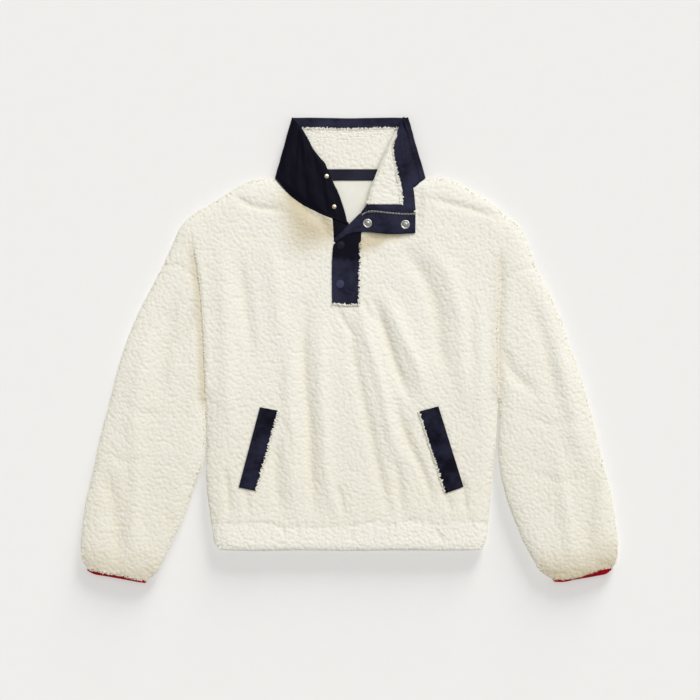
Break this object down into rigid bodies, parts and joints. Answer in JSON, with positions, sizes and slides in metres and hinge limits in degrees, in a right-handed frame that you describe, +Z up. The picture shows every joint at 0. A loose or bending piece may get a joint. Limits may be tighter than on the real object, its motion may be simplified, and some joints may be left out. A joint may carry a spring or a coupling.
{
  "type": "fleece pullover",
  "caption": "Cream sherpa fleece pullover laid flat, with a navy stand collar folded open, a snapped placket, slanted pocket welts and bound cuffs.",
  "frame": {"origin": "centre of the bounding box, on the surface that the pullover lies on", "axes": "+X across the garment from its right sleeve to its left one, as seen from above; +Y from the hem towards the collar; +Z up out of the front"},
  "size_m": [0.8989, 0.777, 0.0237],
  "materials": {
    "fleece": "cream sherpa pile",
    "navy_nylon": "dark navy woven nylon, faint sheen",
    "red_binding": "dark red woven binding",
    "snap_cap": "dark blue satin",
    "snap_metal": "nickel, satin"
  },
  "bodies": {
    "root": {"body_back": "fleece", "body_front": "fleece", "collar_facing": "navy_nylon", "collar_lining": "fleece", "collar_shell": "navy_nylon", "cuff_binding_left": "red_binding", "cuff_binding_right": "red_binding", "hem_band": "fleece", "neck_tape": "navy_nylon", "placket_under": "navy_nylon", "pocket_welt_left": "navy_nylon", "pocket_welt_right": "navy_nylon", "sleeve_left": "fleece", "sleeve_right": "fleece", "snap_cap_lower": "snap_cap", "snap_cap_upper": "snap_cap", "snap_socket_lower": "snap_metal", "snap_socket_upper": "snap_metal", "snap_stud_lower": "snap_metal", "snap_stud_upper": "snap_metal", "storm_flap": "navy_nylon", "zip_tape_left": "navy_nylon", "zip_tape_right": "navy_nylon"}
  },
  "joints": []
}
